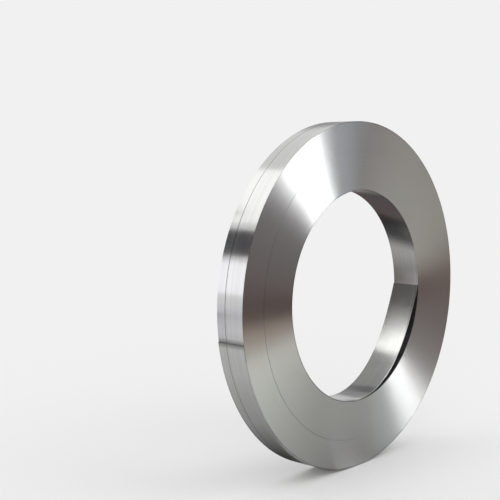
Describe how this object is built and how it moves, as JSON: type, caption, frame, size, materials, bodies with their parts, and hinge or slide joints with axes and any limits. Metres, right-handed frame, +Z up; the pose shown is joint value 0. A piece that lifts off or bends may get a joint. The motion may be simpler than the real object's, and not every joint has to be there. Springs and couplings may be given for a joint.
{
  "type": "titanium zinc strip coil",
  "caption": "Narrow slit strip of titanium zinc wound tightly into a flat ring-shaped coil with a wide open bore, standing upright on its rim.",
  "frame": {"origin": "on the floor under the middle of the coil, where its rim touches", "axes": "+Z up, the coil's axis along Y with its front end facing -Y, +X to the right seen from the front"},
  "size_m": [0.493, 0.0446, 0.4936],
  "materials": {
    "zinc": "bright rolled titanium zinc with fine circular brushing on the slit edges"
  },
  "bodies": {
    "root": {"strip_coil": "zinc"}
  },
  "joints": []
}
